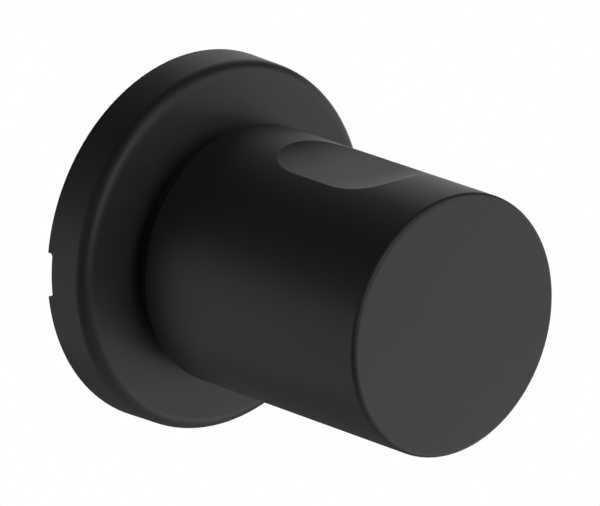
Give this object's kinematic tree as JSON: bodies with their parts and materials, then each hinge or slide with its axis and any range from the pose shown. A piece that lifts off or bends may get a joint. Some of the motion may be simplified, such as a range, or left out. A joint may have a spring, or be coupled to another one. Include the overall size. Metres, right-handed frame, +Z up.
{
  "type": "shut-off valve",
  "caption": "Wall-mounted shut-off valve: round escutcheon and cylindrical matt black handle with a finger flat, turning a ceramic-disc headwork through a quarter turn.",
  "frame": {"origin": "on the valve's axis in the plane of the finished wall, at the front end of the headwork's thread", "axes": "-Y along the valve's axis out into the room, +Z up, with the handle's finger flat on top when shut"},
  "size_m": [0.07, 0.0939, 0.07],
  "materials": {
    "matt_black_coating": "matt fine-grained coating",
    "foam": "closed-cell foam",
    "brass": "turned",
    "ceramic": "lapped",
    "black_rubber": "moulded",
    "fibre": "pressed fibre",
    "steel": "bright",
    "white_acetal": "moulded"
  },
  "bodies": {
    "valve_body": {"escutcheon": "matt_black_coating", "wall_seal": "foam", "guide_sleeve": "matt_black_coating", "sleeve_o_ring": "black_rubber", "clamp_nut": "brass", "headwork_body": "brass", "headwork_gasket": "fibre", "glide_washer": "white_acetal", "fixed_disc": "ceramic", "seat_ring": "black_rubber"},
    "turning_handle": {"handle": "matt_black_coating", "handle_glide_ring": "white_acetal", "grub_screw": "steel", "spindle_extension": "brass", "extension_screw": "steel", "spindle": "brass", "spindle_o_ring_rear": "black_rubber", "spindle_o_ring_front": "black_rubber", "stop_ring": "white_acetal", "retaining_clip": "steel", "rotating_disc": "ceramic"}
  },
  "joints": [
    {"name": "handle_turn", "type": "hinge", "parent": "valve_body", "child": "turning_handle", "pos_m": [0, 0, 0], "axis": [0, -1, 0], "range_deg": [0, 90]}
  ]
}
